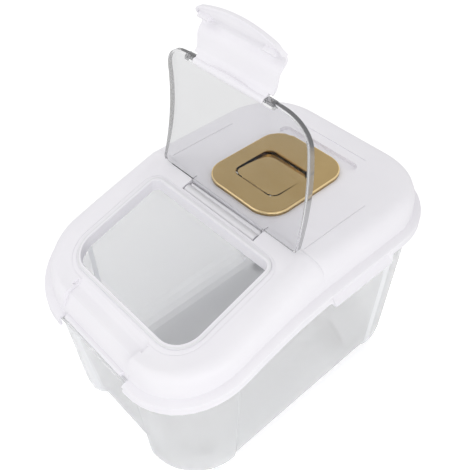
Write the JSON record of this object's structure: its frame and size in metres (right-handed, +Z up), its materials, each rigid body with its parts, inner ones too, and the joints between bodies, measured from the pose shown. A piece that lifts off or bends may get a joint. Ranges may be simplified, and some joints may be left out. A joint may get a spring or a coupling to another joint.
{
  "type": "rice bin with flip lid",
  "caption": "Wedge-shaped grain storage bin with a two-part lift-off lid, a clear flip panel with a snap latch over the pouring mouth, and a lift-out desiccant box.",
  "frame": {"origin": "middle of the footprint, on the surface that the foot pads stand on", "axes": "+Z up, -Y towards the pouring mouth at the front, X across"},
  "size_m": [0.272, 0.373, 0.4372],
  "materials": {
    "bin_plastic": "satin",
    "pad_plastic": "matt",
    "seal_silicone": "matt",
    "scoop_plastic": "gloss",
    "lid_plastic": "gloss",
    "clear_plastic": "gloss",
    "rod_steel": "satin",
    "cup_plastic": "gloss",
    "sachet_paper": "matt",
    "gold_plating": "mirror"
  },
  "bodies": {
    "bin": {"bin_body": "bin_plastic", "foot_pads": "pad_plastic", "rim_gasket": "seal_silicone", "measuring_cup": "scoop_plastic"},
    "lid": {"front_frame": "lid_plastic", "panel_seal": "seal_silicone", "rear_cover": "lid_plastic", "hinge_rod": "lid_plastic", "desiccant_cup": "cup_plastic", "desiccant_sachet": "sachet_paper", "cover_gasket": "seal_silicone"},
    "panel": {"flip_panel": "clear_plastic", "latch_pin": "rod_steel"},
    "latch": {"latch_flap": "lid_plastic"},
    "cover": {"desiccant_cover": "gold_plating", "rocker_pin": "rod_steel"},
    "rocker": {"rocker_pad": "gold_plating"}
  },
  "joints": [
    {"name": "lid_lift", "type": "slide", "parent": "bin", "child": "lid", "axis": [0, 0, 1], "range_m": [0, 0.06]},
    {"name": "panel_hinge", "type": "hinge", "parent": "lid", "child": "panel", "pos_m": [0, -0.0192, 0.24], "axis": [1, 0, 0], "range_deg": [0, 110]},
    {"name": "latch_hinge", "type": "hinge", "parent": "panel", "child": "latch", "pos_m": [0, -0.00547, 0.38348], "axis": [1, 0, 0], "range_deg": [0, 46]},
    {"name": "cover_lift", "type": "slide", "parent": "lid", "child": "cover", "axis": [0, 0, 1], "range_m": [0, 0.02]},
    {"name": "rocker_press", "type": "hinge", "parent": "cover", "child": "rocker", "pos_m": [0, 0.0269, 0.2501], "axis": [1, 0, 0], "range_deg": [-4, 0], "stiffness_Nm_per_rad": 0.5, "springref_deg": 1.72}
  ]
}
